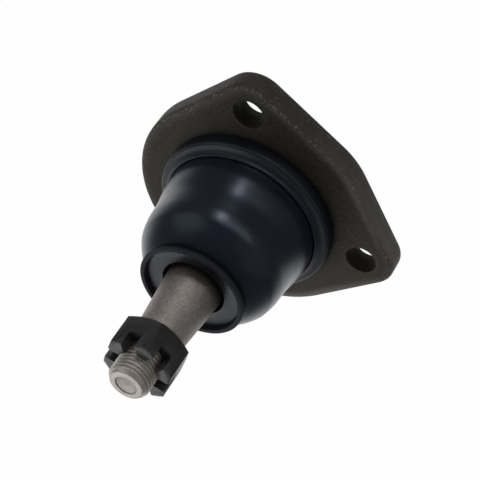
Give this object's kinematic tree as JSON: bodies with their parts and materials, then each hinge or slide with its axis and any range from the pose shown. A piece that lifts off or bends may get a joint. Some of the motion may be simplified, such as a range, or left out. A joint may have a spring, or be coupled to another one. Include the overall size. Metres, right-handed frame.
{
  "type": "suspension ball joint",
  "caption": "Bolt-on suspension ball joint: a ball stud with a tapered shank and slotted nut in a forged flange housing, under a rubber dust boot.",
  "frame": {"origin": "where the ball axis meets the flange's lower (boot side) face, 4.4 mm above the ball's centre", "axes": "+Z along the stud axis away from the stud, which points down; +X towards the flange's blunt nose between the two bolt holes"},
  "size_m": [0.0893, 0.0878, 0.1183],
  "materials": {
    "forged_housing": "matt dark olive-black phosphate coat over a forged surface",
    "bearing_plastic": "matt",
    "stud_steel": "satin, ground",
    "spring_steel": "satin",
    "cover_steel": "matt dark coat",
    "fitting_brass": "yellow zinc plated",
    "boot_rubber": "smooth satin blue-black",
    "clamp_ring": "satin blue-black coat",
    "mouth_ring": "matt grey",
    "nut_black": "black oxide, slightly oily"
  },
  "bodies": {
    "housing": {"housing": "forged_housing", "lower_bearing": "bearing_plastic", "preload_spring": "spring_steel", "cover_plate": "cover_steel", "grease_fitting": "fitting_brass", "fitting_check_ball": "spring_steel", "fitting_spring": "spring_steel", "boot_clamp_ring": "clamp_ring"},
    "lean_direction": {"upper_bearing": "bearing_plastic", "dust_boot": "boot_rubber"},
    "lean": {"boot_mouth_ring": "mouth_ring"},
    "stud": {"ball_stud": "stud_steel", "castle_nut": "nut_black"}
  },
  "joints": [
    {"name": "lean_direction", "type": "hinge", "parent": "housing", "child": "lean_direction", "pos_m": [0, 0, -0.0044], "axis": [0, 0, 1], "continuous": true},
    {"name": "stud_lean", "type": "hinge", "parent": "lean_direction", "child": "lean", "pos_m": [0, 0, -0.0044], "axis": [0, 1, 0], "range_deg": [-22, 22], "deforming": ["dust_boot"]},
    {"name": "stud_spin", "type": "hinge", "parent": "lean", "child": "stud", "pos_m": [0, 0, -0.0044], "axis": [0, 0, 1], "continuous": true}
  ]
}
